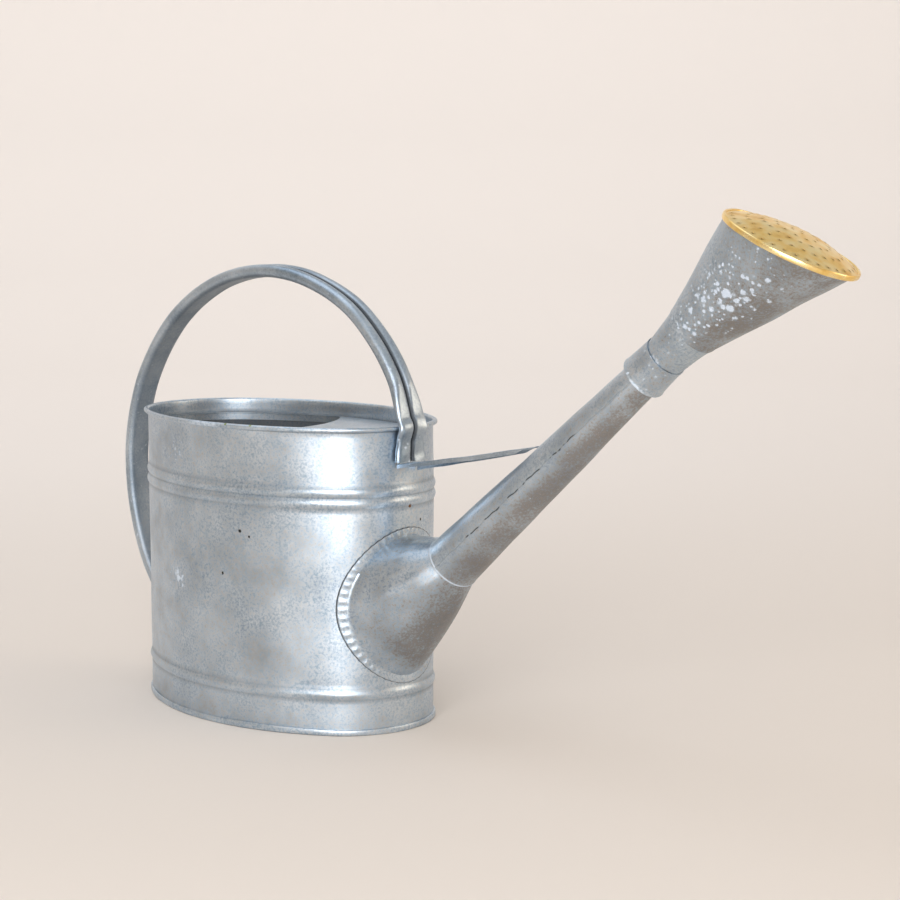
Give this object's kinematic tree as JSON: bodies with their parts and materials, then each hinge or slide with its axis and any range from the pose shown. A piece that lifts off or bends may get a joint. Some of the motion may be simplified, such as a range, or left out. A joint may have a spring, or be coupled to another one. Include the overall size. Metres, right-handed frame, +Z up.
{
  "type": "watering can",
  "caption": "Oval sheet-metal watering can with a loop handle, half deck, braced tapered spout and a pull-off rose with a domed brass face.",
  "frame": {"origin": "middle of the oval foot, on the ground", "axes": "+X towards the spout and the rose, +Z up, Y = 0 is the can's plane of symmetry"},
  "size_m": [0.8437, 0.2118, 0.4591],
  "materials": {
    "zinc": "weathered galvanised, dull grey with pale bloom and brown grime",
    "zinc_dark": "weathered galvanised, darker grey-blue, worn by hands",
    "wire": "plain steel wire, hidden in the rim",
    "brass": "satin, lightly worn"
  },
  "bodies": {
    "can": {"body_wall": "zinc", "rim_wire": "wire", "base_pan": "zinc", "deck_plate": "zinc", "handle_strap": "zinc_dark", "brace_strip": "zinc", "spout_boot": "zinc", "spout_tube": "zinc", "spout_ferrule": "zinc"},
    "rose": {"rose_collar": "zinc", "rose_neck": "zinc", "rose_cone": "zinc", "rose_face": "brass", "rose_band": "brass"}
  },
  "joints": [
    {"name": "rose_pull", "type": "slide", "parent": "can", "child": "rose", "axis": [0.7694, 0, 0.6388], "range_m": [0, 0.06]}
  ]
}
